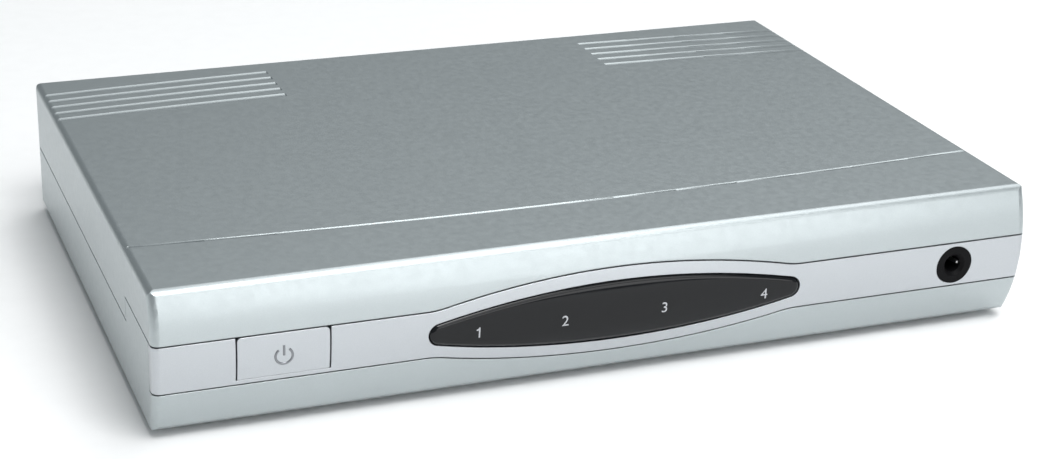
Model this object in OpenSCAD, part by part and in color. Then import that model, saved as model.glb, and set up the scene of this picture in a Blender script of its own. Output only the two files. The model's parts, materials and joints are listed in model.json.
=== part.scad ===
// Switch box for four video sources and one screen.
// A cover, a tray and a bulging front strip close around one circuit board.
// Millimetres, +Z up, front towards -Y. The origin is under the middle of the box,
// on the surface that its feet stand on.

/* [Case] */
// Width of the case
case_w = 182; // [180:1:200]
// Depth of the case, from the bulge of its front to its back wall
case_d = 125; // [120:1:150]
// Height of the case without its feet
case_h = 29; // [28.5:0.5:34]
// Wall thickness of the cover and the tray
wall = 2.2; // [1.8:0.1:2.6]
// Radius of the bulging front, seen from the side
bulge_r = 32; // [28:1:60]
// Height of the middle of the bulge above the underside
bulge_h = 16.5; // [15:0.5:18]
// Radius of the long edges
edge_r = 1.4; // [1:0.1:2.4]
// Radius of the upright corners
corner_r = 1.6; // [1:0.1:3]
// Bevel of the rear edges
back_bevel = 0.9; // [0.5:0.1:1.5]
// Radius of the front edge of the top
brow_r = 1.6; // [0.8:0.1:2.5]
// Radius of the front edge of the underside
chin_r = 3; // [1:0.1:4]
// Gap at the seams between cover, tray and front strip
seam = 0.3; // [0.15:0.05:0.4]
// How far the tray's side lips overlap the cover inside
overlap_h = 2; // [1:0.1:3]
// Thickness of the tray's side lips
overlap_t = 1; // [0.8:0.1:1.2]

/* [Grooves in the cover] */
// Distance of the cross groove's ends behind the front
line_back = 24.1; // [20:0.1:25]
// Radius of the cross groove's bow
line_bow_r = 1230; // [900:10:2000]
// Radius of the cross groove
line_r = 0.6; // [0.4:0.05:0.8]
// Depth of the cross groove
line_depth = 0.2; // [0.15:0.05:0.3]
// Number of grip grooves at each rear corner
grip_count = 5; // [3:1:6]
// Spacing of the grip grooves
grip_pitch = 4.15; // [3.5:0.05:5]
// Radius of the grip grooves' bow
grip_bow_r = 1230; // [900:10:2000]
// Radius of a grip groove
grip_r = 2.4; // [1.5:0.1:3]
// Depth of a grip groove
grip_depth = 0.22; // [0.15:0.01:0.35]
// Distance of the last grip groove's bow from the back
grip_back = 6.9; // [6:0.1:10]
// Distance of the grip grooves' inner ends from the middle
grip_in = 39; // [30:1:50]

/* [Front strip] */
// Height of the strip beside the window
strip_h = 9.8; // [9.4:0.1:11]
// Height of the strip's middle above the underside
strip_mid_h = 14.1; // [13.8:0.1:15]
// Depth to which the strip's ends wrap round the corners
strip_wrap = 3.4; // [3.2:0.1:3.8]
// Thickness of the lip behind cover and tray
lip_t = 1.6; // [1.4:0.1:2]
// How far the lip reaches behind cover and tray
lip_h = 1.5; // [1:0.1:1.8]
// Gap between the lip and the walls before it
lip_gap = 0.2; // [0.1:0.05:0.4]

/* [Window] */
// Length of the window
window_l = 78; // [70:0.5:82]
// Height of the window at its middle
window_h = 13; // [11.5:0.1:13.6]
// Radius of the window's two tips
window_tip_r = 2.4; // [2:0.1:3]
// Width of the strip's border around the window
window_margin = 2.55; // [2.3:0.05:2.8]
// Radius that blends the border into the straight strip
swell_r = 18; // [10:0.5:24]
// How far the window stands out from the strip
window_proud = 0.4; // [0.2:0.05:0.8]
// Width of the ledge that the window sits against
window_ledge = 1.2; // [0.8:0.1:1.4]
// Gap around the window
window_fit = 0.08; // [0.05:0.01:0.15]

/* [Button] */
// Distance of the button's middle from the left side
button_edge = 24.2; // [22:0.1:30]
// Width of the button
button_w = 17.4; // [14:0.1:19]
// Gap beside and above the button
slit = 0.3; // [0.25:0.05:0.6]
// Gap under the button
flap_gap = 0.08; // [0.08:0.01:0.2]
// Height of the strip's bar under the button
bridge = 1; // [0.8:0.1:1.4]
// Thickness of the button's face
button_t = 2; // [1.6:0.1:2.2]
// Radius of the button's upper corners
button_corner_r = 0.8; // [0.4:0.1:1.5]
// Radius of the button's pivot
pivot_r = 0.9; // [0.7:0.05:1]
// Running clearance around the pivot
pivot_clear = 0.05; // [0.03:0.01:0.07]
// Length of each pivot end inside the strip
pivot_reach = 1.3; // [1:0.1:2]
// Radius of the post that presses the switch
post_r = 0.8; // [0.6:0.1:1]
// Gap between the post and the switch plunger at rest
post_gap = 0.06; // [0.04:0.01:0.2]
// Height of the switch plunger's axis above the board
switch_axis_h = 4.6; // [4:0.1:5]
// Radius of the switch plunger
plunger_r = 1.7; // [1.5:0.05:1.9]
// How far the plunger stands out of the switch
plunger_out = 2.6; // [2.4:0.1:3]
// Travel of the plunger
plunger_travel = 0.25; // [0.2:0.05:0.4]

/* [Remote jack] */
// Distance of the jack's middle from the right side
jack_edge = 16.5; // [14:0.1:22]
// Radius of the jack's nose
jack_nose_r = 4; // [3.6:0.1:4.2]
// Radius of the jack's bore
jack_bore_r = 1.8; // [1.78:0.01:1.9]
// Depth of the jack's bore
jack_bore_l = 14.5; // [14:0.1:16]
// Radius of the bore's flared mouth
jack_mouth_r = 2.45; // [2:0.05:2.8]
// Height of the jack's axis above the board
jack_axis_h = 4; // [3.6:0.1:4.4]
// Width of the jack's body
jack_w = 8.4; // [7.5:0.1:10]

/* [Circuit board] */
// Thickness of the board
board_t = 1.6; // [1.2:0.2:2]
// Gap between the board and the side walls
board_gap = 1.2; // [0.8:0.1:2]
// Distance of the board behind the front
board_front = 7; // [6.6:0.1:8]
// Radius of a hole for a soldered pin
pin_hole_r = 0.55; // [0.45:0.05:0.6]
// Width of a soldered pin
pin_w = 0.5; // [0.4:0.05:0.6]
// Length of a soldered pin below the board
pin_tail = 1.2; // [0.8:0.1:1.6]
// Radius of the posts that carry the board
standoff_r = 3; // [2.6:0.1:3.4]
// Distance of the board posts from the board's front and rear edges
standoff_in = 24; // [20:1:30]
// Distance of the board posts from the sides
standoff_side = 19; // [17:1:27]

/* [Screws] */
// Radius of the case screws
case_screw_r = 1.5; // [1.25:0.05:1.6]
// Length of the case screws under the head
case_screw_l = 14; // [12:0.5:16]
// Depth of the case screw seats above the underside
case_screw_deep = 6; // [5:0.5:7]
// Radius of the case screw heads
case_head_r = 2.6; // [2.3:0.1:2.8]
// Radius of the bosses for the case screws
boss_r = 4; // [3.8:0.1:4.4]
// Distance of the front bosses behind the front
boss_front = 30; // [29.5:0.5:36]
// Distance of the rear bosses from the back
boss_back = 16.5; // [14:0.5:20]
// Radius of the board screws
board_screw_r = 1.2; // [1:0.05:1.3]
// Length of the board screws under the head
board_screw_l = 5.5; // [5:0.5:6]
// Radius of the board screw heads
board_head_r = 2.2; // [2:0.1:2.4]

/* [Feet] */
// Height of the feet below the case
foot_h = 1.5; // [1:0.1:3]
// Radius of the feet
foot_r = 5; // [4:0.5:6]
// Depth of the feet inside the tray
foot_seat = 0.8; // [0.5:0.1:1]
// Distance of the feet from the sides
foot_in_x = 17; // [16:1:24]
// Distance of the feet from the front and the back
foot_in_y = 18; // [16:0.5:20]

/* [Lights] */
// Places of the four lights, from the middle
led_x = [-29.2, -11.5, 9.3, 30.9]; // [-34:0.1:34]
// Radius of a light
led_r = 1.5; // [1.3:0.1:1.6]
// Length of a light, from tip to base
led_l = 5.3; // [5:0.1:5.8]
// Height of the infrared receiver
ir_h = 7; // [6.5:0.1:7.5]

/* [Sockets at the back] */
// Number of video inputs
input_count = 4; // [2:1:4]
// Spacing of the video inputs
input_pitch = 24; // [20:0.5:25]
// Spacing from the last input to the output
output_pitch = 30; // [22:0.5:32]
// Spacing from the output to the power socket
power_pitch = 26; // [22:0.5:27]
// Width of the opening in the back beyond the outer sockets
rear_margin = 12; // [10:0.5:13]
// Height of the opening's lower edge above the underside
rear_low = 5.5; // [4.5:0.1:7]
// Depth of the opening's upper edge below the top
rear_high = 6; // [4:0.1:6.2]
// Thickness of the rear panel
panel_t = 1.5; // [1:0.1:2]
// How far the sockets stand out of the rear panel
socket_proud = 0.6; // [0.3:0.1:1]
// Inner width of a video socket
hdmi_w = 14; // [14:0.05:14.2]
// Inner height of a video socket
hdmi_h = 4.55; // [4.5:0.05:4.7]
// Depth of a video socket
hdmi_l = 12; // [11:0.1:13]
// Size of the sloping lower corners of a video socket
hdmi_cut = 2; // [1.6:0.1:2.2]
// Sheet thickness of a video socket's shell
hdmi_sheet = 0.35; // [0.3:0.05:0.5]
// Radius of the power socket's nose
power_nose_r = 4.2; // [4:0.1:4.4]
// Radius of the power socket's bore
power_bore_r = 3; // [2.9:0.05:3.2]
// Depth of the power socket's bore
power_bore_l = 9.5; // [9:0.1:10.5]
// Radius of the power socket's centre pin
power_pin_r = 1.05; // [1:0.05:1.25]
// Height of the power socket's axis above the board
power_axis_h = 6.5; // [6:0.1:6.8]
// Width of the power socket's body
power_w = 9; // [8.8:0.1:10]

/* [Hidden] */
round_fn = 64;
$fn = round_fn;
big_fn = 720;
// Clearance of pieces that sit in a seat, and of panels in a slot
slip = 0.05;
// Clearance of a socket in the hole that it looks out of
hole_clear = 0.2;
// Overlap that joins the shapes of one piece
eps = 0.02;
// Straight steps in the long and short arcs of the front outlines
long_steps = 36;
tip_steps = 8;

// The case and its inside
back_y = (case_d + window_proud) / 2;
front_y = back_y - case_d;
case_bot = foot_h;
case_top = foot_h + case_h;
floor_z = case_bot + wall;
roof_z = case_top - wall;
side_x = case_w / 2;
inner_x = side_x - wall;
inner_back_y = back_y - wall;
bulge_y = front_y + bulge_r;
bulge_z = case_bot + bulge_h;
line_y = front_y + line_back;
line_mid_y = line_y - bow_fall(line_bow_r, side_x);
// How far out a groove turns round the edge, in its depths, so that it fades away on the side
groove_fade = 1.4;
clear_of_case = case_w;

// The strip, the window and the button
strip_z = case_bot + strip_mid_h;
strip_top = strip_z + strip_h / 2;
strip_low = strip_z - strip_h / 2;
strip_end_y = front_y + strip_wrap;
lip_out_r = bulge_r - wall - lip_gap;
lip_in_r = lip_out_r - lip_t;
window_tip_x = window_l / 2 - window_tip_r;
window_arc_r = (pow(window_tip_x, 2) - pow(window_tip_r, 2) + pow(window_h / 2, 2))
    / (window_h - 2 * window_tip_r);
window_arc_c = window_arc_r - window_h / 2;
window_stop_r = bulge_r - wall;
window_back_r = lip_in_r + lip_gap;
button_x = button_edge - side_x;
button_low = strip_low + bridge + flap_gap;
button_top = strip_top + seam / 2 - slit;
button_left = button_x - button_w / 2;
button_right = button_x + button_w / 2;
pivot_left = button_left - slit - pivot_reach;
pivot_right = button_right + slit + pivot_reach;
pivot_z = button_low + pivot_r;
pivot_y = bulge_face(bulge_r - button_t, pivot_z) + pivot_r / 2;

// The board and what it carries at the front
board_top = strip_z - jack_axis_h;
board_low = board_top - board_t;
board_x = inner_x - board_gap;
board_front_y = front_y + board_front;
panel_y = inner_back_y - slip - panel_t;
board_back_y = panel_y - 2 * hole_clear;
standoff_x = side_x - standoff_side;
standoff_y = [board_front_y + standoff_in, board_back_y - standoff_in];
jack_x = side_x - jack_edge;
jack_face_y = bulge_face(bulge_r, strip_z) + slip;
jack_body_y = bulge_face(lip_in_r, board_top) + hole_clear;
jack_end_t = 1.5;
jack_end_y = jack_face_y + jack_bore_l + jack_end_t;
jack_contact_t = 0.4;
jack_contact_w = 2;
jack_contact_pitch = 3;
jack_contact_y = [for (i = [0 : 2]) jack_body_y + jack_contact_w + i * jack_contact_pitch];
switch_w = 6;
switch_d = 3.4;
switch_above_axis = 2.8;
switch_h = switch_axis_h + switch_above_axis;
switch_sheet = 0.3;
switch_z = board_top + switch_axis_h;
switch_y = board_front_y + plunger_out - switch_sheet;
plunger_in = 1.6;
plunger_tip_y = switch_y - plunger_out;
post_tip_r = post_r / 2;
post_tip_l = 0.5;
post_end_y = plunger_tip_y - post_gap - post_tip_l;
led_out = 1.6;
led_tip_y = board_front_y - led_out;
led_base_y = led_tip_y + led_l;
led_flange_t = 1;
led_flange_rim = 0.4;
led_flange_r = led_r + led_flange_rim;
led_pin_x = 1.27;
led_bend = 1.6;
led_pin_y = led_base_y + led_bend;
led_holder_wall = 0.5;
led_holder_w = 2 * (led_flange_r + led_holder_wall);
ir_x = (led_x[2] + led_x[3]) / 2;
ir_w = 6;
ir_d = 3.6;
ir_in = 1.4;
ir_y = board_front_y + ir_in;
ir_lens_r = 2.2;
ir_pin_x = 2;
ir_pin_y = ir_y + ir_d / 2;

// The sockets at the back
row_w = (input_count - 1) * input_pitch + output_pitch + power_pitch;
hdmi_x = concat(
    [for (i = [0 : input_count - 1]) i * input_pitch - row_w / 2],
    [row_w / 2 - power_pitch]);
hdmi_count = len(hdmi_x);
power_x = row_w / 2;
rear_half = row_w / 2 + rear_margin;
panel_edge = 3;
panel_half = rear_half + panel_edge;
panel_rib_h = 3;
panel_rib_t = 1.4;
socket_y = panel_y + panel_t + socket_proud;
hdmi_z = board_top + hdmi_sheet;
hdmi_back_y = socket_y - hdmi_l;
hdmi_base_l = 4.6;
hdmi_base_y = hdmi_back_y + hdmi_sheet;
tongue_w = 11.4;
tongue_t = 1.5;
tongue_set = 1.2;
tongue_z = hdmi_z + (hdmi_h - tongue_t) / 2;
contact_pitch = 1;
contact_w = 0.4;
contact_t = 0.15;
contact_l = 5.4;
upper_contacts = 10;
lower_contacts = 9;
tab_w = 1;
tab_back = 2.6;
tab_pitch = 5;
tab_y = [hdmi_back_y + tab_back, hdmi_back_y + tab_back + tab_pitch];
tab_hole_r = 0.8;
power_z = board_top + power_axis_h;
power_body_y = panel_y - hole_clear;
power_body_l = 12;
power_top = power_z + power_w / 2;
power_pin_y = [power_body_y - 3, power_body_y - 8.5];
power_side_pin = [power_x + power_w / 2 - 1, power_body_y - 6];

// The parts in the middle of the board
switch_chip_at = [-15, 4];
switch_chip_size = [14, 14, 1.4];
buffer_back = 22;
buffer_chip_y = board_back_y - buffer_back;
buffer_chip_size = [7, 7, 0.9];
controller_at = [-34, -26];
controller_size = [12.8, 7.5, 2.3];
crystal_at = [-34, -13];
crystal_size = [11.2, 4.7, 3.6];
crystal_corner_r = 2.1;
regulator_at = [power_x, 8];
regulator_size = [6.5, 6.1, 2.3];
inductor_at = [power_x - 14, 8];
inductor_size = [8, 8, 4];
inductor_coil_r = 3.6;
capacitor_r = 4;
capacitor_h = 11;
capacitor_in = 5;
capacitor_pitch = 9.75;
capacitor_at = [for (at = [[0, 0], [1, 0], [0, 1]])
    [power_x - capacitor_in - at[0] * capacitor_pitch, buffer_chip_y - at[1] * capacitor_pitch]];

// Screws and feet
boss_in_wall = 0.5;
boss_x = inner_x - boss_r + boss_in_wall;
boss_y = [front_y + boss_front, back_y - boss_back];
boss_room = 0.6;
boss_notch_r = boss_r + boss_room;
case_seat_z = case_bot + case_screw_deep;
case_head_h = 2;
case_tip_z = case_seat_z + case_screw_l;
board_head_h = 1.6;
board_tip_z = board_top - board_screw_l;
screw_spare = 0.5;
cross_l = 1.2;
cross_w = 0.3;
cross_deep = 0.6;
foot_x = side_x - foot_in_x;
foot_y = [front_y + foot_in_y, back_y - foot_in_y];
foot_names = ["front_left", "front_right", "rear_left", "rear_right"];

// How far a bow of radius r has fallen back at a distance x from its middle.
function bow_fall(r, x) = r - sqrt(pow(r, 2) - pow(x, 2));

// Where a groove in the top turns round the edge.
function groove_end_x(depth) = side_x - edge_r + groove_fade * depth;

// Y of the front face of a bulge bar of radius r, at height z.
function bulge_face(r, z) = bulge_y - sqrt(pow(r, 2) - pow(z - bulge_z, 2));

// Points along an arc about a middle, without its last point.
function arc(middle, r, from, to, steps) = [
    for (i = [0 : steps - 1])
        let (a = from + (to - from) * i / steps)
            middle + r * [cos(a), sin(a)]];

// Places of the soldered pins on the board.
led_pins = [for (x = led_x, s = [-1, 1]) [x + s * led_pin_x, led_pin_y]];
ir_pins = [for (s = [-1 : 1]) [ir_x + s * ir_pin_x, ir_pin_y]];
switch_pins = [for (s = [-1, 1]) [button_x + s * switch_w / 4, switch_y + switch_d - pin_w]];
bracket_pins = [for (s = [-1, 1])
    [button_x + s * (switch_w / 2 + slip + switch_sheet / 2), switch_y + switch_d / 2]];
jack_pins = [for (i = [0 : 2])
    [jack_x + (i == 1 ? -1 : 1) * (jack_w / 2 + jack_contact_t / 2), jack_contact_y[i]]];
power_pins = concat([for (y = power_pin_y) [power_x, y]], [power_side_pin]);
tab_places = [for (x = hdmi_x, s = [-1, 1], y = tab_y) [x + s * (hdmi_w + hdmi_sheet) / 2, y]];

// Depth range of the outlines that part the front
front_cut_y = front_y - wall;
lip_end_y = front_y + 4 * wall;

// Front view outlines are drawn in X and Z, and are pushed from y0 to y1.
module push_y(y0, y1) {
    translate([0, y1, 0]) rotate([90, 0, 0]) linear_extrude(y1 - y0) children();
}

// Side view outlines are drawn in Y and Z, and are pushed from x0 to x1.
module push_x(x0, x1) {
    translate([x0, 0, 0]) rotate([90, 0, 90]) linear_extrude(x1 - x0) children();
}

module block(x0, x1, y0, y1, z0, z1) {
    translate([x0, y0, z0]) cube([x1 - x0, y1 - y0, z1 - z0]);
}

// A block that stands on the board, centred at a place.
module board_block(at, size) {
    translate([at[0] - size[0] / 2, at[1] - size[1] / 2, board_top]) cube(size);
}

// Cylinders that lie along Y, along X, or stand up.
module rod_y(x, z, y0, y1, r) {
    translate([x, y0, z]) rotate([-90, 0, 0]) cylinder(r = r, h = y1 - y0);
}

module rod_x(x0, x1, y, z, r) {
    translate([x0, y, z]) rotate([0, 90, 0]) cylinder(r = r, h = x1 - x0);
}

module rod_z(x, y, z0, z1, r) {
    translate([x, y, z0]) cylinder(r = r, h = z1 - z0);
}

// A soldered pin, from height z down through the board.
module pin(at, z, size_x = pin_w, size_y = pin_w) {
    block(at[0] - size_x / 2, at[0] + size_x / 2, at[1] - size_y / 2, at[1] + size_y / 2,
        board_low - pin_tail, z);
}

// A rectangle with round corners, from its lower left corner.
module round_rect(w, h, r) {
    translate([r, 0]) square([w - 2 * r, h]);
    translate([0, r]) square([w, h - 2 * r]);
    for (x = [r, w - r], y = [r, h - r]) translate([x, y]) circle(r);
}

// The round bar that gives the front its bulge.
module bulge_bar(r) {
    translate([0, bulge_y, bulge_z]) rotate([0, 90, 0])
        cylinder(r = r, h = clear_of_case + case_w, center = true, $fn = big_fn);
}

// Side view of the case, with its front edges rounded into the bulge.
module side_outline() {
    middle = [bulge_y, bulge_z];
    brow = [bulge_face(bulge_r - brow_r, case_top - brow_r), case_top - brow_r];
    chin = [bulge_face(bulge_r - chin_r, case_bot + chin_r), case_bot + chin_r];
    brow_touch = middle + (brow - middle) * bulge_r / (bulge_r - brow_r);
    chin_touch = middle + (chin - middle) * bulge_r / (bulge_r - chin_r);
    ahead = front_y - case_d;
    difference() {
        union() {
            translate(middle) circle(bulge_r, $fn = big_fn);
            translate([bulge_y, case_bot - bulge_r]) square([back_y - bulge_y, case_h + 2 * bulge_r]);
        }
        translate([ahead, case_top]) square([2 * case_d, 2 * bulge_r]);
        translate([ahead, case_bot - 2 * bulge_r]) square([2 * case_d, 2 * bulge_r]);
        polygon([[brow[0], case_top], [brow[0], case_top + bulge_r], [ahead, case_top + bulge_r],
            [ahead, brow_touch[1]], brow_touch]);
        polygon([[chin[0], case_bot], [chin[0], case_bot - bulge_r], [ahead, case_bot - bulge_r],
            [ahead, chin_touch[1]], chin_touch]);
    }
    translate(brow) circle(brow_r);
    translate(chin) circle(chin_r);
}

// The bulging front with its two ends rounded, and everything behind it.
module bulge_body() {
    translate([0, bulge_y, bulge_z]) rotate([0, 90, 0]) rotate_extrude($fn = big_fn) {
        translate([0, -side_x]) square([bulge_r - corner_r, case_w]);
        translate([0, corner_r - side_x]) square([bulge_r, case_w - 2 * corner_r]);
        for (s = [-1, 1]) translate([bulge_r - corner_r, s * (side_x - corner_r)]) circle(corner_r);
    }
    block(-side_x, side_x, bulge_y, bulge_y + 2 * case_d, bulge_z - case_d, bulge_z + case_d);
}

// The outside of the closed case.
module case_body() {
    intersection() {
        push_x(-clear_of_case, clear_of_case) side_outline();
        push_y(front_y - case_d, back_y + case_d)
            translate([-side_x, case_bot]) round_rect(case_w, case_h, edge_r);
        translate([-side_x, front_y - case_d, 0]) linear_extrude(2 * case_top)
            round_rect(case_w, 2 * case_d, corner_r);
        bulge_body();
    }
}

// The room inside the case.
module cavity() {
    intersection() {
        block(-inner_x, inner_x, front_y, inner_back_y, floor_z, roof_z);
        union() {
            bulge_bar(bulge_r - wall);
            block(-side_x, side_x, bulge_y, back_y, case_bot, case_top);
        }
    }
}

// The window's outline, with every edge moved out by grow.
module lens(grow) {
    lean = atan2(window_arc_c, window_tip_x);
    upper = concat(
        arc([window_tip_x, 0], window_tip_r + grow, 0, lean, tip_steps),
        arc([0, -window_arc_c], window_arc_r + grow, lean, 180 - lean, long_steps),
        arc([-window_tip_x, 0], window_tip_r + grow, 180 - lean, 180, tip_steps));
    translate([0, strip_z]) polygon(concat(upper, -upper));
}

// The strip's outline, swelling around the window, with every edge moved out by grow.
module strip_outline(grow) {
    half = strip_h / 2;
    border_r = window_arc_r + window_margin;
    blend_x = sqrt(pow(border_r + swell_r, 2) - pow(window_arc_c + half + swell_r, 2));
    lean = atan2(window_arc_c + half + swell_r, blend_x);
    upper = concat(
        [[clear_of_case, half + grow]],
        arc([blend_x, half + swell_r], swell_r - grow, 270, 180 + lean, tip_steps),
        arc([0, -window_arc_c], border_r + grow, lean, 180 - lean, long_steps),
        arc([-blend_x, half + swell_r], swell_r - grow, -lean, -90, tip_steps),
        [[-blend_x, half + grow], [-clear_of_case, half + grow]]);
    translate([0, strip_z]) polygon(concat(upper, -upper));
}

// A round groove in the top that bows towards the back, from x0 to x1.
module bowed_groove(x0, x1, y, bow_r, r, depth) {
    start = asin(x0 / bow_r);
    end = asin(x1 / bow_r);
    translate([0, y - bow_r, case_top + r - depth]) rotate([0, 0, 90 - end])
        rotate_extrude(angle = end - start, $fn = big_fn)
            translate([bow_r, 0]) circle(r, $fn = round_fn);
}

// The end of a groove: it runs round the right edge and fades away on the side.
module groove_end(y, lean, r, depth) {
    translate([groove_end_x(depth), y, case_top - edge_r]) rotate([90, 0, lean])
        rotate_extrude(angle = 90) translate([edge_r + r - depth, 0]) circle(r + eps);
}

// The fine groove across the top, which bows towards the front and ends over the step in the side seam.
module cross_groove() {
    reach = groove_end_x(line_depth);
    mirror([0, 1, 0])
        bowed_groove(-reach - eps, reach + eps, -line_mid_y, line_bow_r, line_r, line_depth);
    for (side = [0, 1]) mirror([side, 0, 0])
        groove_end(line_mid_y + bow_fall(line_bow_r, reach), asin(reach / line_bow_r), line_r, line_depth);
}

// The grooves that fingers hold at the rear corners.
module grip_grooves() {
    reach = groove_end_x(grip_depth);
    for (side = [0, 1], i = [0 : grip_count - 1]) mirror([side, 0, 0]) {
        y = back_y - grip_back - i * grip_pitch;
        bowed_groove(grip_in, reach + eps, y, grip_bow_r, grip_r, grip_depth);
        groove_end(y - bow_fall(grip_bow_r, reach), -asin(reach / grip_bow_r), grip_r, grip_depth);
    }
}

// The opening in the back that the rear panel closes from inside.
module rear_opening() {
    block(-rear_half, rear_half, inner_back_y - wall, back_y + wall,
        case_bot + rear_low, case_top - rear_high);
}

// The bevel along the rear edge at height z.
module rear_bevel(z) {
    across = back_bevel * sqrt(2);
    translate([0, back_y, z]) rotate([45, 0, 0]) cube([2 * case_w, across, across], center = true);
}

// What the seams take away below the cover.
module below_cover() {
    x = clear_of_case;
    block(-x, x, front_y - case_d, back_y + case_d, case_bot - case_h, strip_z + seam / 2);
    block(-x, x, front_y - case_d, line_y + seam / 2, case_bot - case_h, strip_top + seam / 2);
    push_y(front_cut_y, lip_end_y) strip_outline(seam / 2);
}

// What the seams take away above the tray and behind the strip.
module above_tray() {
    x = clear_of_case;
    block(-x, x, line_y - seam / 2, back_y + case_d, strip_z - seam / 2, 2 * case_top);
    block(-x, x, front_y - case_d, back_y, strip_top - seam / 2, 2 * case_top);
    push_y(front_cut_y, strip_end_y + seam) strip_outline(seam / 2);
    push_y(front_cut_y, lip_end_y) intersection() {
        strip_outline(seam / 2);
        translate([-inner_x, case_bot]) square([2 * inner_x, case_h]);
    }
}

module top_cover() {
    color("silver") difference() {
        union() {
            difference() {
                case_body();
                cavity();
                below_cover();
            }
            for (s = [-1, 1], y = boss_y)
                rod_z(s * boss_x, y, strip_z + seam / 2, roof_z + eps, boss_r);
            block(-rear_half, rear_half, panel_y - slip - panel_rib_t, panel_y - slip,
                roof_z - panel_rib_h, roof_z + eps);
        }
        for (s = [-1, 1], y = boss_y)
            rod_z(s * boss_x, y, strip_z, case_tip_z + screw_spare, case_screw_r + slip);
        rear_opening();
        rear_bevel(case_top);
        grip_grooves();
        cross_groove();
    }
}

module bottom_tray() {
    lip_y = [boss_y[0] + boss_notch_r, boss_y[1] - boss_notch_r];
    lip_x = inner_x - lip_gap;
    color("silver") difference() {
        union() {
            difference() {
                case_body();
                cavity();
                above_tray();
            }
            for (s = [-1, 1], y = boss_y)
                rod_z(s * boss_x, y, floor_z - eps, strip_z - seam / 2, boss_r);
            for (s = [-1, 1], y = standoff_y)
                rod_z(s * standoff_x, y, floor_z - eps, board_low, standoff_r);
            block(-rear_half, rear_half, panel_y - slip - panel_rib_t, panel_y - slip,
                floor_z - eps, floor_z + panel_rib_h);
            for (side = [0, 1]) mirror([side, 0, 0]) {
                block(lip_x - overlap_t, lip_x, lip_y[0], lip_y[1],
                    strip_z - overlap_h, strip_z + overlap_h);
                block(lip_x - overlap_t, inner_x + eps, lip_y[0], lip_y[1],
                    strip_z - overlap_h, strip_z - seam);
            }
        }
        for (s = [-1, 1], y = boss_y) {
            rod_z(s * boss_x, y, 0, case_seat_z, case_head_r + hole_clear);
            rod_z(s * boss_x, y, 0, strip_z, case_screw_r + hole_clear);
        }
        for (s = [-1, 1], y = standoff_y)
            rod_z(s * standoff_x, y, board_tip_z - screw_spare, board_top, board_screw_r + slip);
        for (s = [-1, 1], y = foot_y) rod_z(s * foot_x, y, 0, case_bot + foot_seat, foot_r + slip);
        rear_opening();
        rear_bevel(case_bot);
    }
}

module front_panel() {
    color("gainsboro") difference() {
        union() {
            intersection() {
                case_body();
                push_y(front_cut_y, strip_end_y) strip_outline(-seam / 2);
            }
            intersection() {
                bulge_bar(lip_out_r);
                push_y(front_y, lip_end_y) intersection() {
                    strip_outline(lip_h);
                    translate([lip_gap - inner_x, case_bot]) square([2 * (inner_x - lip_gap), case_h]);
                }
            }
        }
        bulge_bar(lip_in_r);
        push_y(front_y - case_d, bulge_y) lens(0);
        intersection() {
            bulge_bar(window_stop_r);
            push_y(front_y, bulge_y) lens(window_ledge);
        }
        rod_y(jack_x, strip_z, front_cut_y, bulge_y, jack_nose_r + hole_clear / 2);
        block(button_left - slit, button_right + slit, front_y - case_d, bulge_y,
            strip_low + bridge, case_top);
        rod_x(pivot_left - hole_clear, pivot_right + hole_clear, pivot_y, pivot_z,
            pivot_r + pivot_clear);
    }
}

module display_window() {
    color([0.13, 0.14, 0.16]) difference() {
        union() {
            intersection() {
                bulge_bar(bulge_r + window_proud);
                push_y(front_y - case_d, bulge_y) lens(-window_fit);
            }
            intersection() {
                bulge_bar(window_stop_r - slip);
                push_y(front_y, bulge_y) lens(window_ledge - window_fit);
            }
        }
        bulge_bar(window_back_r);
    }
}

// The select button: a flap that turns on its lower edge and presses the switch with a post.
module select_button() {
    color("gainsboro") {
        intersection() {
            case_body();
            difference() {
                push_y(front_cut_y, bulge_y) {
                    translate([button_left, button_low])
                        round_rect(button_w, button_top - button_low, button_corner_r);
                    translate([button_left, button_low]) square([button_w, pivot_r]);
                }
                bulge_bar(bulge_r - button_t);
            }
        }
        rod_x(pivot_left, pivot_right, pivot_y, pivot_z, pivot_r);
        rod_y(button_x, switch_z, bulge_face(bulge_r - button_t / 2, switch_z), post_end_y, post_r);
        translate([button_x, post_end_y, switch_z]) rotate([-90, 0, 0])
            cylinder(r1 = post_r, r2 = post_tip_r, h = post_tip_l);
    }
}

module rear_panel() {
    color("dimgray") difference() {
        block(-panel_half, panel_half, panel_y, panel_y + panel_t, floor_z + slip, roof_z - slip);
        for (x = hdmi_x) translate([x, 0, hdmi_z])
            push_y(panel_y - panel_t, back_y) hdmi_outline(hdmi_sheet + hole_clear);
        rod_y(power_x, power_z, panel_y - panel_t, back_y, power_nose_r + hole_clear);
    }
}

module main_board() {
    color("darkgreen") difference() {
        block(-board_x, board_x, board_front_y, board_back_y, board_low, board_top);
        for (side = [0, 1], y = boss_y) mirror([side, 0, 0]) {
            rod_z(boss_x, y, floor_z, roof_z, boss_notch_r);
            block(boss_x, side_x, y - boss_notch_r, y + boss_notch_r, floor_z, roof_z);
        }
        for (s = [-1, 1], y = standoff_y)
            rod_z(s * standoff_x, y, floor_z, roof_z, board_screw_r + hole_clear);
        for (at = concat(led_pins, ir_pins, switch_pins, bracket_pins, jack_pins, power_pins))
            rod_z(at[0], at[1], floor_z, roof_z, pin_hole_r);
        for (at = tab_places) rod_z(at[0], at[1], floor_z, roof_z, tab_hole_r);
    }
}

// The opening of a video socket, with every edge moved out by grow.
module hdmi_outline(grow) {
    x = hdmi_w / 2 + grow;
    slope = grow * tan(22.5);
    polygon([[x, hdmi_h + grow], [x, hdmi_cut - slope], [hdmi_w / 2 - hdmi_cut + slope, -grow],
        [hdmi_cut - hdmi_w / 2 - slope, -grow], [-x, hdmi_cut - slope], [-x, hdmi_h + grow]]);
}

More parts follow.
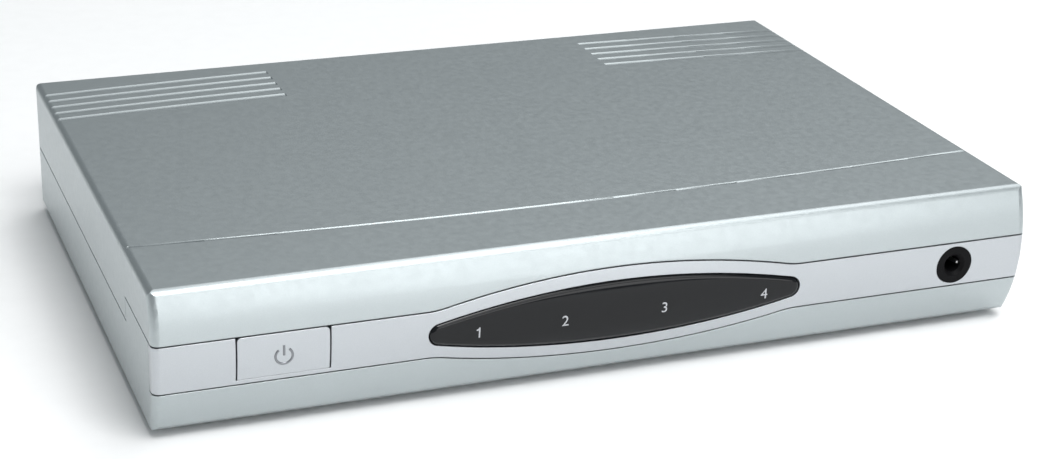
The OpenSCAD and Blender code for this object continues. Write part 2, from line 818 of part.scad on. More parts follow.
module hdmi_shell(x) {
    color("lightgray") {
        translate([x, 0, hdmi_z]) push_y(hdmi_back_y, socket_y) difference() {
            hdmi_outline(hdmi_sheet);
            hdmi_outline(0);
        }
        for (s = [-1, 1], y = tab_y)
            pin([x + s * (hdmi_w + hdmi_sheet) / 2, y], hdmi_z + hdmi_h / 2, hdmi_sheet, tab_w);
    }
}

module hdmi_insulator(x) {
    color([0.1, 0.1, 0.1]) {
        translate([x, 0, hdmi_z]) push_y(hdmi_base_y, hdmi_base_y + hdmi_base_l) hdmi_outline(-slip);
        block(x - tongue_w / 2, x + tongue_w / 2,
            hdmi_base_y + hdmi_base_l - eps, socket_y - tongue_set, tongue_z, tongue_z + tongue_t);
    }
}

// A row of contacts along a tongue, at height z.
module contact_row(x, z, count) {
    left = x - ((count - 1) * contact_pitch + contact_w) / 2;
    for (i = [0 : count - 1]) translate([left + i * contact_pitch, hdmi_base_y + hdmi_base_l, z])
        cube([contact_w, contact_l, contact_t]);
}

// The contacts on top of a tongue, and those between them underneath.
module hdmi_contacts(x) {
    color("gold") {
        contact_row(x, tongue_z + tongue_t, upper_contacts);
        contact_row(x, tongue_z - contact_t, lower_contacts);
    }
}

module power_jack_body() {
    color([0.12, 0.12, 0.12]) difference() {
        union() {
            block(power_x - power_w / 2, power_x + power_w / 2,
                power_body_y - power_body_l, power_body_y, board_top, power_top);
            rod_y(power_x, power_z, power_body_y - eps, socket_y, power_nose_r);
        }
        rod_y(power_x, power_z, socket_y - power_bore_l, socket_y + wall, power_bore_r);
    }
}

module power_jack_pin() {
    tip_y = socket_y - power_pin_r;
    color("silver") {
        rod_y(power_x, power_z, socket_y - power_bore_l, tip_y, power_pin_r);
        translate([power_x, tip_y, power_z]) sphere(power_pin_r);
    }
}

module power_jack_contacts() {
    color("silver") for (at = power_pins) pin(at, board_top);
}

module remote_jack_body() {
    color([0.1, 0.1, 0.1]) difference() {
        union() {
            block(jack_x - jack_w / 2, jack_x + jack_w / 2, jack_body_y, jack_end_y,
                board_top, board_top + 2 * jack_axis_h);
            rod_y(jack_x, strip_z, jack_face_y, jack_body_y + eps, jack_nose_r);
        }
        rod_y(jack_x, strip_z, jack_face_y - wall, jack_face_y + jack_bore_l, jack_bore_r);
        translate([jack_x, jack_face_y, strip_z]) rotate([-90, 0, 0])
            cylinder(r1 = jack_mouth_r, r2 = jack_bore_r, h = jack_mouth_r - jack_bore_r);
    }
}

// Three flat springs against the sides of the jack, soldered into the board.
module remote_jack_contacts() {
    color("silver") for (at = jack_pins) {
        board_block(at, [jack_contact_t, jack_contact_w, jack_axis_h + jack_bore_r]);
        pin(at, board_top + eps, jack_contact_t, pin_w);
    }
}

module tact_switch_body() {
    color([0.15, 0.15, 0.15]) difference() {
        block(button_x - switch_w / 2, button_x + switch_w / 2, switch_y, switch_y + switch_d,
            board_top, board_top + switch_h);
        rod_y(button_x, switch_z, switch_y - wall, switch_y + plunger_in + 2 * plunger_travel,
            plunger_r + slip);
    }
}

module tact_switch_bracket() {
    side = switch_w / 2 + slip;
    color("silver") {
        difference() {
            block(button_x - side - switch_sheet, button_x + side + switch_sheet,
                switch_y - slip - switch_sheet, switch_y - slip, board_top, board_top + switch_h);
            rod_y(button_x, switch_z, switch_y - wall, switch_y + wall, plunger_r + 2 * hole_clear);
        }
        for (s = [0, 1]) translate([button_x, 0, 0]) mirror([s, 0, 0])
            block(side, side + switch_sheet, switch_y - slip - eps, switch_y + switch_d,
                board_top, switch_z);
        for (at = bracket_pins) pin(at, board_top + eps, switch_sheet, pin_w);
    }
}

module tact_switch_plunger() {
    color([0.2, 0.2, 0.2]) rod_y(button_x, switch_z, plunger_tip_y, switch_y + plunger_in, plunger_r);
}

module tact_switch_pins() {
    color("silver") for (at = switch_pins) pin(at, board_top);
}

module led(x) {
    color([0.7, 0.85, 0.7]) {
        translate([x, led_tip_y + led_r, strip_z]) sphere(led_r);
        rod_y(x, strip_z, led_tip_y + led_r, led_base_y, led_r);
        rod_y(x, strip_z, led_base_y - led_flange_t, led_base_y, led_flange_r);
    }
}

// A block that holds a light level, in front of its flange.
module led_holder(x) {
    color([0.1, 0.1, 0.1]) difference() {
        block(x - led_holder_w / 2, x + led_holder_w / 2,
            board_front_y + slip, led_base_y - led_flange_t - slip,
            board_top, strip_z + led_holder_w / 2);
        rod_y(x, strip_z, led_tip_y, led_base_y, led_r + slip);
    }
}

// Two bent wires to each light.
module led_leads() {
    color("silver") for (at = led_pins) {
        block(at[0] - pin_w / 2, at[0] + pin_w / 2, led_base_y, at[1] + pin_w / 2,
            strip_z - pin_w / 2, strip_z + pin_w / 2);
        pin(at, strip_z);
    }
}

module ir_receiver() {
    color([0.12, 0.12, 0.14]) {
        block(ir_x - ir_w / 2, ir_x + ir_w / 2, ir_y, ir_y + ir_d, board_top, board_top + ir_h);
        translate([ir_x, ir_y, strip_z]) sphere(ir_lens_r);
    }
}

module ir_receiver_leads() {
    color("silver") for (at = ir_pins) pin(at, board_top);
}

module hdmi_switch_chip() {
    color([0.12, 0.12, 0.12]) board_block(switch_chip_at, switch_chip_size);
}

// One buffer behind each video socket.
module buffer_chips() {
    color([0.12, 0.12, 0.12]) for (x = hdmi_x) board_block([x, buffer_chip_y], buffer_chip_size);
}

module controller_chip() {
    color([0.12, 0.12, 0.12]) board_block(controller_at, controller_size);
}

module crystal() {
    corner = [crystal_at[0] - crystal_size[0] / 2, crystal_at[1] - crystal_size[1] / 2, board_top];
    color("silver") translate(corner)
        linear_extrude(crystal_size[2]) round_rect(crystal_size[0], crystal_size[1], crystal_corner_r);
}

module voltage_regulator() {
    color([0.12, 0.12, 0.12]) board_block(regulator_at, regulator_size);
}

module inductor() {
    color([0.25, 0.25, 0.27]) {
        board_block(inductor_at, [inductor_size[0], inductor_size[1], inductor_size[2] / 2]);
        rod_z(inductor_at[0], inductor_at[1], board_top, board_top + inductor_size[2], inductor_coil_r);
    }
}

module capacitors() {
    color([0.2, 0.22, 0.3]) for (at = capacitor_at)
        rod_z(at[0], at[1], board_top, board_top + capacitor_h, capacitor_r);
}

// A screw with a flat head and a cross recess. Its head lies under the seat if down, and else above it.
// The cross is in shares of the head: its length and width of the radius, its depth of the height.
module screw(r, l, head_r, head_h, down) {
    mirror([0, 0, down ? 0 : 1]) difference() {
        union() {
            translate([0, 0, -eps]) cylinder(r = r, h = l + eps);
            translate([0, 0, -head_h]) cylinder(r = head_r, h = head_h);
        }
        for (a = [0, 90]) rotate([0, 0, a]) translate([0, 0, (cross_deep - 1) * head_h - head_h / 2])
            cube([head_r * cross_l, head_r * cross_w, head_h], center = true);
    }
}

module case_screws() {
    color("gray") for (s = [-1, 1], y = boss_y) translate([s * boss_x, y, case_seat_z])
        screw(case_screw_r, case_screw_l, case_head_r, case_head_h, true);
}

module board_screws() {
    color("gray") for (s = [-1, 1], y = standoff_y) translate([s * standoff_x, y, board_top])
        screw(board_screw_r, board_screw_l, board_head_r, board_head_h, false);
}

module rubber_foot(i) {
    color([0.15, 0.15, 0.15])
        rod_z((i % 2 == 0 ? -1 : 1) * foot_x, foot_y[floor(i / 2)], 0, case_bot + foot_seat, foot_r);
}

top_cover();
bottom_tray();
front_panel();
display_window();
select_button();
rear_panel();
main_board();
for (i = [1 : hdmi_count]) {
    hdmi_shell(hdmi_x[i - 1]);
    hdmi_insulator(hdmi_x[i - 1]);
    hdmi_contacts(hdmi_x[i - 1]);
}
power_jack_body();
power_jack_pin();
power_jack_contacts();
remote_jack_body();
remote_jack_contacts();
tact_switch_body();
tact_switch_bracket();
tact_switch_plunger();
tact_switch_pins();
for (i = [1 : len(led_x)]) {
    led(led_x[i - 1]);
    led_holder(led_x[i - 1]);
}
led_leads();
ir_receiver();
ir_receiver_leads();
hdmi_switch_chip();
buffer_chips();
controller_chip();
crystal();
voltage_regulator();
inductor();
capacitors();
case_screws();
board_screws();
for (i = [0 : len(foot_names) - 1]) {
    rubber_foot(i);
}
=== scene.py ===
"""Looks of a low silver switch box with a bulging front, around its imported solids.

Metres, +Z up, front towards -Y. The solids keep their shape and get finishes here. The pieces made here are
worked out in millimetres.
"""

import json
import math

import bmesh
import bpy
from mathutils import Matrix, Vector


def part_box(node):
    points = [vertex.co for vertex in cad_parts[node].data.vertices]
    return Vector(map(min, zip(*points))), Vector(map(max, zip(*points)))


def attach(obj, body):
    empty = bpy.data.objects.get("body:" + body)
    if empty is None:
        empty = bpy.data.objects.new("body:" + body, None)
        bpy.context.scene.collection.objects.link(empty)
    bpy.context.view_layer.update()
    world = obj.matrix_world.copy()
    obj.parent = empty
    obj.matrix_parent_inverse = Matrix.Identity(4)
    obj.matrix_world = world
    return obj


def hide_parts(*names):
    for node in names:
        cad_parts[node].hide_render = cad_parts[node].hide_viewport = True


MM = 0.001

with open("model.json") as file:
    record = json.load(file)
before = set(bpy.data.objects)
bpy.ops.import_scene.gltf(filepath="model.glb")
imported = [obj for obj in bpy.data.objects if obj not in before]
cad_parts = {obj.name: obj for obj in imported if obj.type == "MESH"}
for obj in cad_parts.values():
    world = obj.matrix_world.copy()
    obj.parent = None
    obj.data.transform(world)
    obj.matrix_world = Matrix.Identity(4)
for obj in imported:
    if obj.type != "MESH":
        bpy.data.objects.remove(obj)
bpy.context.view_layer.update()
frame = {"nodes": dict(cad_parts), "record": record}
scene = bpy.context.scene


def middle(node):
    """Middle of a node's box, in millimetres."""
    low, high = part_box(node)
    return (low + high) / 2 / MM


# Places that the solids give, in millimetres
WINDOW_Z = middle("display_window").z
BUTTON_X = middle("select_button").x
JACK = middle("remote_jack_body")
PANEL_FACE_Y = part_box("rear_panel")[1].y / MM

# Bulging front: its axis and radius, in millimetres
BULGE_Y, BULGE_Z, BULGE_R = -30.3, 18.0, 32.0

# Window, in millimetres: outline, gap to the strip, how far it stands out, radius of its back, and shoulder
WINDOW_L, WINDOW_H, WINDOW_TIP_R = 78.0, 13.0, 2.4
WINDOW_FIT, WINDOW_PROUD, WINDOW_BACK_R = 0.08, 0.4, 28.6
SHOULDER_R = 1.1
# Fall of the window's face per square of the height from its crown, and the crown's height
CROWN, CROWN_Z = 0.011, 13.5
TIP_STEPS, EDGE_STEPS, SHOULDER_STEPS, WINDOW_ROWS = 10, 90, 8, 24

# Inputs of the box, each with a light and a socket
INPUTS = 4

# Figures, in millimetres: height of their middle over the floor, size, and how far they stand out
FIGURE_Z, FIGURE_H = 15.15, 2.15
REAR_FIGURE_Z, REAR_FIGURE_H = 20.0, 2.4
PRINT_T = 0.02
FIGURE_BANDS, FIGURE_CURVE_STEPS = 10, 6
# Outline of a figure 1 with a flag, in heights
FIGURE_ONE = ((-0.04, -0.5), (0.1, -0.5), (0.1, 0.5), (0.0, 0.5), (-0.08, 0.38), (-0.24, 0.31), (-0.24, 0.19),
              (-0.04, 0.22))

# Power sign, in millimetres: middle and radius of its ring, then width, height and sunk depth of its ridge
SIGN_Z, SIGN_R = 15.66, 1.62
SIGN_W, SIGN_H, SIGN_SUNK = 0.5, 0.16, 0.05
# Half of the ring's gap and the step along the ring in degrees, and the bar's points in radii over the middle
SIGN_OPEN, SIGN_STEP = 38, 4
SIGN_BAR = (0.1, 0.5, 0.9, 1.35)
SIGN_SIDES = 8

# Spring inside the jack, in millimetres: place, length and bow, then width and thickness, then its thick tip
SPRING_X, SPRING_Y, SPRING_L, SPRING_BOW = 1.72, -61.0, 7.0, 0.6
SPRING_W, SPRING_T = 1.0, 0.18
SPRING_TIP, SPRING_TIP_L = 0.5, 0.9
SPRING_STEPS = 16

# Points closer than this are one, and edges shorter than this are dropped, in metres
MERGE, SLIVER = 1e-6, 1e-7

# Finishes: range of a noise that is used, its detail, and how much coarser than the grain each layer is
NOISE_LOW, NOISE_HIGH = 0.3, 0.7
FINE_DETAIL, BROAD_DETAIL = 3.0, 2.0
CLOUD_COARSER, GLOSS_COARSER, FLECK_COARSER = 60.0, 8.0, 2.0
FLECK_CORE, FLECK_RIM = 0.08, 0.16
RELIEF_STRENGTH = 0.5

# Camera at the photograph's angle: degrees to the right, down and round, and millimetres
CAMERA_TURN, CAMERA_TIP, CAMERA_ROLL = 21.532, 22.259, 1.6416
CAMERA_PLACE = (-156.87, -406.67, 186.60)
CAMERA_LENS, CAMERA_SENSOR = 74.11, 36.0
CAMERA_NEAR, CAMERA_FAR = 10.0, 20000.0

# Floor's half width in metres, and the light from all around
FLOOR = 6.0
SKY, SKY_STRENGTH = (0.80, 0.87, 0.90), 0.34


# Finishes


def grey(value):
    """A grey of a value."""
    return (value,) * 3


def surface(name, colour, vary=0.06, rough=(0.4, 0.5), metal=0.0, grain=3000.0, depth=0.01,
            stretch=(1.0, 1.0, 1.0), edge=0.0, shine=0.5, speck=None):
    """A finish whose colour, gloss and relief vary with a grain.

    grain is in features per metre, depth and edge in millimetres. speck is the colour of sparse flecks.
    """
    material = bpy.data.materials.new(name)
    material.use_nodes = True
    nodes, links = material.node_tree.nodes, material.node_tree.links

    def connect(node, inputs):
        """Sets inputs of a node, and links those that another node gives."""
        for socket, value in inputs.items():
            if isinstance(value, bpy.types.NodeSocket):
                links.new(value, node.inputs[socket])
            else:
                node.inputs[socket].default_value = value

    def add(kind, output, inputs, **settings):
        """Adds a node and gives one of its outputs."""
        node = nodes.new("ShaderNode" + kind)
        for setting, value in settings.items():
            setattr(node, setting, value)
        connect(node, inputs)
        return node.outputs[output]

    def noise(features, detail):
        return add("TexNoise", "Fac", {"Vector": where, "Scale": features, "Detail": detail})

    def ramp(source, *stops):
        result = add("ValToRGB", "Color", {"Fac": source})
        for point, (at, value) in zip(result.node.color_ramp.elements, stops):
            point.position, point.color = at, (*value, 1.0)
        return result

    def shade(factor):
        return tuple(min(1.0, c * factor) for c in colour)

    where = add("Mapping", "Vector", {"Vector": add("TexCoord", "Object", {}), "Scale": stretch})
    fine = noise(grain, FINE_DETAIL)
    tint = ramp(fine, (NOISE_LOW, shade(1.0 - vary)), (NOISE_HIGH, shade(1.0 + vary)))
    broad = noise(grain / CLOUD_COARSER, BROAD_DETAIL)
    cloud = ramp(broad, (NOISE_LOW, grey(1.0 - vary / 2)), (NOISE_HIGH, grey(1.0)))
    result = add("Mix", "Result", {"Factor": 1.0, "A": tint, "B": cloud}, data_type="RGBA",
                 blend_type="MULTIPLY")
    if speck:
        away = add("TexVoronoi", "Distance", {"Vector": where, "Scale": grain / FLECK_COARSER})
        cover = ramp(away, (FLECK_CORE, grey(1.0)), (FLECK_RIM, grey(0.0)))
        result = add("Mix", "Result", {"Factor": cover, "A": result, "B": (*speck, 1.0)}, data_type="RGBA")

    gloss = add("MapRange", "Result", {
        "Value": noise(grain / GLOSS_COARSER, BROAD_DETAIL),
        "From Min": NOISE_LOW,
        "From Max": NOISE_HIGH,
        "To Min": rough[0],
        "To Max": rough[1],
    })
    relief = {"Strength": RELIEF_STRENGTH, "Distance": depth * MM, "Height": fine}
    if edge:
        relief["Normal"] = add("Bevel", "Normal", {"Radius": edge * MM})
    connect(nodes["Principled BSDF"], {
        "Base Color": result,
        "Metallic": metal,
        "Roughness": gloss,
        "Specular IOR Level": shine,
        "Normal": add("Bump", "Normal", relief),
    })
    return material


PAINT = {"vary": 0.03, "rough": (0.34, 0.40), "metal": 0.92, "grain": 5200, "depth": 0.003}
FINISHES = {
    "case_silver": surface("silver_paint", (0.440, 0.480, 0.490), **PAINT, edge=0.25),
    "strip_silver": surface("strip_paint", (0.49, 0.513, 0.535), **PAINT, edge=0.2),
    "window_black": surface("smoked_window", (0.0045, 0.005, 0.006), vary=0.12, rough=(0.06, 0.09), grain=900,
                            depth=0.001, shine=0.3),
    "panel_dark": surface("panel_plastic", (0.030, 0.031, 0.034), vary=0.25, rough=(0.5, 0.62), grain=2600,
                          depth=0.03, edge=0.15),
    "board_green": surface("solder_mask", (0.012, 0.10, 0.035), vary=0.2, rough=(0.25, 0.4), grain=1400,
                           depth=0.01),
    "shell_steel": surface("tinned_sheet", (0.62, 0.62, 0.61), vary=0.08, rough=(0.22, 0.36), metal=1.0,
                           grain=2400, depth=0.004, stretch=(1.0, 0.12, 1.0), edge=0.08),
    "insulator_black": surface("moulded_black", (0.005, 0.005, 0.0055), vary=0.2, rough=(0.42, 0.55),
                               grain=3200, depth=0.012, edge=0.12, shine=0.07),
    "contact_gold": surface("gold_plate", (0.86, 0.62, 0.24), vary=0.08, rough=(0.2, 0.3), metal=1.0,
                            grain=4000, depth=0.002),
    "contact_tin": surface("tin_plate", (0.66, 0.66, 0.65), vary=0.08, rough=(0.25, 0.38), metal=1.0,
                           grain=3000, depth=0.003),
    "led_clear": surface("light_lens", (0.62, 0.74, 0.66), vary=0.04, rough=(0.08, 0.14), grain=1500,
                         depth=0.001),
    "chip_black": surface("moulded_chip", (0.022, 0.022, 0.024), vary=0.2, rough=(0.5, 0.62), grain=4500,
                          depth=0.01, speck=(0.05, 0.05, 0.052)),
    "ferrite": surface("ferrite", (0.045, 0.045, 0.048), vary=0.2, rough=(0.55, 0.7), grain=3000, depth=0.02),
    "can_aluminium": surface("sleeved_can", (0.16, 0.18, 0.24), vary=0.1, rough=(0.3, 0.4), metal=0.2,
                             grain=1800, depth=0.003),
    "screw_steel": surface("zinc_plate", (0.50, 0.50, 0.48), vary=0.1, rough=(0.28, 0.42), metal=1.0,
                           grain=2500, depth=0.006, edge=0.08),
    "foot_rubber": surface("foot_rubber", (0.022, 0.022, 0.023), vary=0.25, rough=(0.7, 0.85), grain=2200,
                           depth=0.03, edge=0.3),
}
WHITE_PRINT = surface("white_print", (0.42, 0.43, 0.45), vary=0.05, rough=(0.4, 0.5), grain=6000, depth=0.002)
# Painted shade: the power sign is a darker silver than the button, standing in for the shade that falls in an
# engraved sign
SIGN_PAINTED_SHADE = surface("sign_painted_shade", (0.24, 0.25, 0.265), **PAINT)
FLOOR_PAPER = surface("floor_paper", (0.95, 0.95, 0.95), vary=0.01, rough=(0.85, 0.95), grain=200,
                      depth=0.001)

for part in frame["record"]["subparts"]:
    slots = frame["nodes"][part["node"]].data.materials
    slots.clear()
    slots.append(FINISHES[part["material_slot"]])


# Pieces


def add_object(name, data):
    """Adds an object with its data to the scene."""
    thing = bpy.data.objects.new(name, data)
    scene.collection.objects.link(thing)
    return thing


def piece(name, mesh, material, body="case", smooth=None):
    """Adds a mesh as a piece that rides on a body. smooth is the angle under which edges are shaded round."""
    thing = add_object(name, mesh)
    mesh.materials.append(material)
    if smooth:
        mesh.shade_smooth()
        mesh.set_sharp_from_angle(angle=math.radians(smooth))
    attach(thing, body)
    return thing


def turn_outwards(work):
    """Turns the faces of a closed mesh outwards."""
    bmesh.ops.recalc_face_normals(work, faces=work.faces[:])
    if work.calc_volume(signed=True) < 0:
        bmesh.ops.reverse_faces(work, faces=work.faces[:])


def mesh_of(name, points, faces):
    """A closed mesh from points in millimetres, with its faces turned outwards."""
    mesh = bpy.data.meshes.new(name)
    mesh.from_pydata([Vector(p) * MM for p in points], [], faces)
    work = bmesh.new()
    work.from_mesh(mesh)
    bmesh.ops.remove_doubles(work, verts=work.verts, dist=MERGE)
    turn_outwards(work)
    bmesh.ops.dissolve_degenerate(work, edges=work.edges, dist=SLIVER)
    work.to_mesh(mesh)
    work.free()
    return mesh


def loft(name, rings):
    """A closed mesh through rings that have as many points each, with flat ends."""
    row = len(rings[0])
    points = [p for ring in rings for p in ring]
    faces = []
    for i in range(len(rings) - 1):
        for k in range(row):
            a, b = row * i + k, row * i + (k + 1) % row
            faces.append((a, b, b + row, a + row))
    faces.append(tuple(range(row)))
    faces.append(tuple(range(len(points) - row, len(points))))
    return mesh_of(name, points, faces)


def front_y(z, radius=BULGE_R):
    """Y of the bulging front of a radius, at height z."""
    return BULGE_Y - math.sqrt(radius**2 - (z - BULGE_Z) ** 2)


# Display window


def window_y(z):
    """Y of the window's face at height z: proud of the strip, and falling back from its crown."""
    return front_y(z, BULGE_R + WINDOW_PROUD) + CROWN * (z - CROWN_Z) ** 2


def lens_half(grow):
    """Upper half of the window's outline from its right tip to its left one, moved out by grow."""
    tip_x = WINDOW_L / 2 - WINDOW_TIP_R
    arc_r = (tip_x**2 - WINDOW_TIP_R**2 + (WINDOW_H / 2) ** 2) / (WINDOW_H - 2 * WINDOW_TIP_R)
    drop = arc_r - WINDOW_H / 2
    lean = math.atan2(drop, tip_x)
    points = []

    def arc(x, z, r, start, end, steps):
        for i in range(steps + 1):
            a = start + (end - start) * i / steps
            points.append((x + r * math.cos(a), z + r * math.sin(a)))

    arc(tip_x, 0.0, WINDOW_TIP_R + grow, 0.0, lean, TIP_STEPS)
    arc(0.0, -drop, arc_r + grow, lean, math.pi - lean, EDGE_STEPS)
    arc(-tip_x, 0.0, WINDOW_TIP_R + grow, math.pi - lean, math.pi, TIP_STEPS)
    return points


def window_rings():
    """Rings from the window's back over its shoulder: how far each is moved out, and its Y over height."""
    rings = [(-WINDOW_FIT, lambda z: front_y(z, WINDOW_BACK_R))]
    for i in range(SHOULDER_STEPS + 1):
        a = math.pi / 2 * i / SHOULDER_STEPS
        grow = -WINDOW_FIT - SHOULDER_R * (1 - math.cos(a))
        depth = SHOULDER_R * (1 - math.sin(a))
        rings.append((grow, lambda z, depth=depth: window_y(z) + depth))
    return rings


def window_mesh():
    """The window: a curved lens with a round shoulder, closed at its back."""
    rings = window_rings()
    points, faces, loops = [], [], []

    def put(x, z, y_at):
        height = WINDOW_Z + z
        points.append((x, y_at(height), height))

    def cap(grow, y_at):
        """Fills a ring with columns from its upper edge to its lower one."""
        half = lens_half(grow)
        start, column = len(points), WINDOW_ROWS + 1
        for x, z in half:
            for k in range(column):
                put(x, z * (1 - 2 * k / WINDOW_ROWS), y_at)
        for i in range(len(half) - 1):
            for k in range(WINDOW_ROWS):
                a = start + i * column + k
                faces.append((a, a + 1, a + 1 + column, a + column))

    for grow, y_at in rings:
        half = lens_half(grow)
        outline = half + [(-x, -z) for x, z in half]
        loops.append(range(len(points), len(points) + len(outline)))
        for x, z in outline:
            put(x, z, y_at)
    for low, high in zip(loops, loops[1:]):
        for i in range(len(low)):
            j = (i + 1) % len(low)
            faces.append((low[i], low[j], high[j], high[i]))
    cap(*rings[-1])
    cap(*rings[0])
    return mesh_of("display_lens", points, faces)


lens = piece("display_lens", window_mesh(), FINISHES["window_black"], smooth=40)
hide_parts("display_window")


# Figures in the window and over the rear sockets


def flat_figure(name, text):
    """A flat mesh of a figure in X and Y."""
    if text == "1":
        flat = bpy.data.meshes.new(name)
        flat.from_pydata([(x, y, 0.0) for x, y in FIGURE_ONE], [], [tuple(range(len(FIGURE_ONE)))])
        return flat
    curve = bpy.data.curves.new(name, "FONT")
    curve.body = text
    curve.resolution_u = FIGURE_CURVE_STEPS
    maker = add_object(name + "_maker", curve)
    flat = bpy.data.meshes.new_from_object(maker.evaluated_get(bpy.context.evaluated_depsgraph_get()))
    bpy.data.objects.remove(maker)
    return flat


def figure_mesh(name, text, height, lay):
    """A thin figure of a height, cut into bands that can follow a curved face.

    lay places a point, given by its x and z about the figure's middle and by how far out it is.
    """
    flat = flat_figure(name, text)
    work = bmesh.new()
    work.from_mesh(flat)
    bpy.data.meshes.remove(flat)
    left, low = (min(v.co[i] for v in work.verts) for i in (0, 1))
    right, high = (max(v.co[i] for v in work.verts) for i in (0, 1))
    size = height / (high - low)
    bmesh.ops.triangulate(work, faces=work.faces[:])
    for i in range(1, FIGURE_BANDS):
        level = low + (high - low) * i / FIGURE_BANDS
        bmesh.ops.bisect_plane(work, geom=work.verts[:] + work.edges[:] + work.faces[:],
                               plane_co=(0, level, 0), plane_no=(0, 1, 0))
    work.verts.index_update()
    spots = [((v.co.x - (left + right) / 2) * size, (v.co.y - (low + high) / 2) * size) for v in work.verts]
    front = [[v.index for v in face.verts] for face in work.faces]
    rim = [[v.index for v in edge.verts] for edge in work.edges if edge.is_boundary]
    work.free()
    under = len(spots)
    points = [lay(x, z, out) for out in (PRINT_T, -PRINT_T) for x, z in spots]
    back = [[i + under for i in corners] for corners in front]
    sides = [(a, b, b + under, a + under) for a, b in rim]
    return mesh_of(name, points, front + back + sides)


def on_window(x0):
    """Lays a figure on the window's face at x0."""

    def lay(x, z, out):
        height = FIGURE_Z + z
        return (x0 + x, window_y(height) - out, height)

    return lay


def on_panel(x0):
    """Lays a figure on the rear panel at x0, to be read from behind."""

    def lay(x, z, out):
        return (x0 - x, PANEL_FACE_Y + out, REAR_FIGURE_Z + z)

    return lay


for prefix, node, height, lay_at in (("figure", "led", FIGURE_H, on_window),
                                     ("rear_figure", "hdmi_shell", REAR_FIGURE_H, on_panel)):
    for number in range(1, INPUTS + 1):
        name = f"{prefix}_{number}"
        lay = lay_at(middle(f"{node}_{number}").x)
        piece(name, figure_mesh(name, str(number), height, lay), WHITE_PRINT)


# Power sign on the button, a ridge in a darker silver of painted shade


def ridge_rings(points):
    """Rings of a half-round ridge along points in X and Z, laid on the bulging front."""
    rings = []
    for i, (x, z) in enumerate(points):
        x0, z0 = points[max(i - 1, 0)]
        x1, z1 = points[min(i + 1, len(points) - 1)]
        length = math.hypot(x1 - x0, z1 - z0)
        nx, nz = -(z1 - z0) / length, (x1 - x0) / length
        ring = []
        for k in range(SIGN_SIDES + 1):
            a = math.pi * k / SIGN_SIDES
            across = -math.cos(a) * SIGN_W / 2
            out = math.sin(a) * (SIGN_H + SIGN_SUNK) - SIGN_SUNK
            height = z + across * nz
            ring.append((x + across * nx, front_y(height) - out, height))
        rings.append(ring)
    return rings


sign_angles = [math.radians(a) for a in range(SIGN_OPEN, 360 - SIGN_OPEN + 1, SIGN_STEP)]
sign_ring = [(BUTTON_X + SIGN_R * math.sin(a), SIGN_Z + SIGN_R * math.cos(a)) for a in sign_angles]
sign_bar = [(BUTTON_X, SIGN_Z + SIGN_R * t) for t in SIGN_BAR]
for name, line in (("power_sign_ring", sign_ring), ("power_sign_bar", sign_bar)):
    piece(name, loft(name, ridge_rings(line)), SIGN_PAINTED_SHADE, "select_button", smooth=50)


# Spring inside the jack


def spring_rings():
    """Rings of the bowed spring that shows inside the jack, with a thick tip at the mouth."""
    rings = []
    for i in range(SPRING_STEPS + 1):
        t = i / SPRING_STEPS
        x = JACK.x + SPRING_X - SPRING_BOW * math.sin(math.pi * t)
        y = SPRING_Y + SPRING_L * t
        slim = min(1.0, t * SPRING_L / SPRING_TIP_L)
        wide = SPRING_TIP + (SPRING_W - SPRING_TIP) * slim
        thick = SPRING_TIP + (SPRING_T - SPRING_TIP) * slim
        low, high = JACK.z - wide / 2, JACK.z + wide / 2
        rings.append([(x, y, low), (x, y, high), (x - thick, y, high), (x - thick, y, low)])
    return rings


piece("jack_spring", loft("jack_spring", spring_rings()), FINISHES["contact_tin"], smooth=50)


# Camera


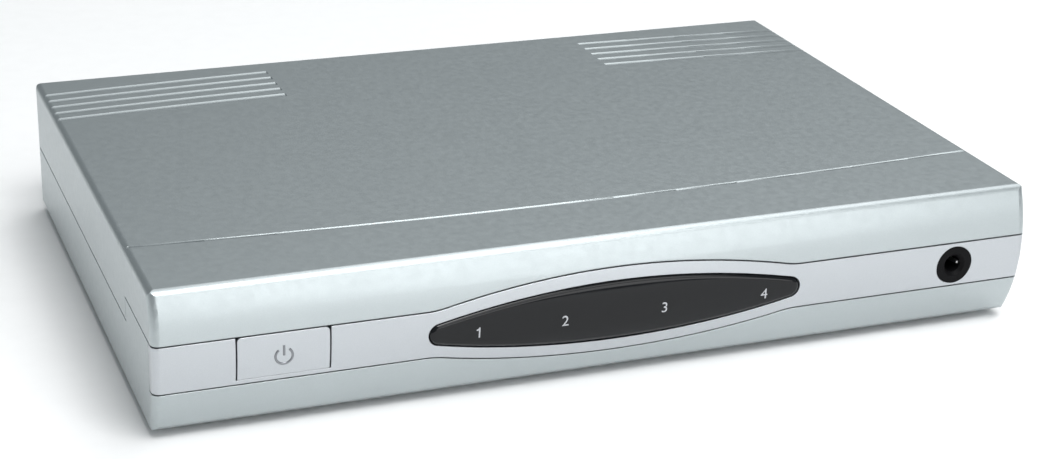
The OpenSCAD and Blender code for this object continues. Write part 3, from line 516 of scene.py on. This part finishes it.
def add_camera():
    """The camera at the photograph's angle: turned right, tipped down and slightly rolled."""
    turn, tip, roll = (math.radians(a) for a in (CAMERA_TURN, CAMERA_TIP, CAMERA_ROLL))
    ahead = Vector((math.sin(turn) * math.cos(tip), math.cos(turn) * math.cos(tip), -math.sin(tip)))
    right = Vector((math.cos(turn), -math.sin(turn), 0.0))
    up = right.cross(ahead)
    right, up = (math.cos(roll) * right + math.sin(roll) * up,
                 -math.sin(roll) * right + math.cos(roll) * up)
    data = bpy.data.cameras.new("camera")
    data.sensor_width, data.lens = CAMERA_SENSOR, CAMERA_LENS
    data.clip_start, data.clip_end = CAMERA_NEAR * MM, CAMERA_FAR * MM
    place = Matrix((right, up, -ahead)).transposed().to_4x4()
    place.translation = Vector(CAMERA_PLACE) * MM
    thing = add_object("camera", data)
    thing.matrix_world = place
    scene.camera = thing


add_camera()


# Floor and light

floor_mesh = bpy.data.meshes.new("floor")
floor_mesh.from_pydata([(-FLOOR, -FLOOR, 0), (FLOOR, -FLOOR, 0), (FLOOR, FLOOR, 0), (-FLOOR, FLOOR, 0)],
                       [], [(0, 1, 2, 3)])
floor_mesh.materials.append(FLOOR_PAPER)
floor = add_object("floor", floor_mesh)


def softbox(name, place, aim, size, power):
    """A rectangular light at a place, turned towards a point, in metres and watts."""
    data = bpy.data.lights.new(name, "AREA")
    data.shape = "RECTANGLE"
    data.size, data.size_y = size
    data.energy = power
    thing = add_object(name, data)
    thing.location = place
    thing.rotation_euler = (Vector(aim) - Vector(place)).to_track_quat("-Z", "Y").to_euler()


softbox("front_low", (0.28, -1.00, 0.24), (0.0, 0.0, 0.02), (0.8, 0.34), 2.3)
softbox("front_high", (0.25, -0.76, 0.62), (0.0, 0.0, 0.02), (0.6, 0.36), 1.6)
softbox("front_top", (0.16, -0.24, 0.95), (0.0, -0.04, 0.03), (0.9, 0.46), 2.0)
softbox("front_near", (0.0, -0.38, 0.68), (-0.04, -0.16, 0.0), (0.4, 0.3), 3.2)
softbox("back", (0.40, 0.75, 1.10), (0.0, 0.15, 0.0), (1.2, 1.0), 2.1)
softbox("above", (0.70, 0.60, 1.40), (0.20, 0.60, 0.0), (1.4, 1.0), 6.4)

world = bpy.data.worlds.new("studio")
world.use_nodes = True
sky = world.node_tree.nodes["Background"]
sky.inputs["Color"].default_value = (*SKY, 1.0)
sky.inputs["Strength"].default_value = SKY_STRENGTH
scene.world = world
scene.view_settings.view_transform = "Standard"
scene.view_settings.look = "None"
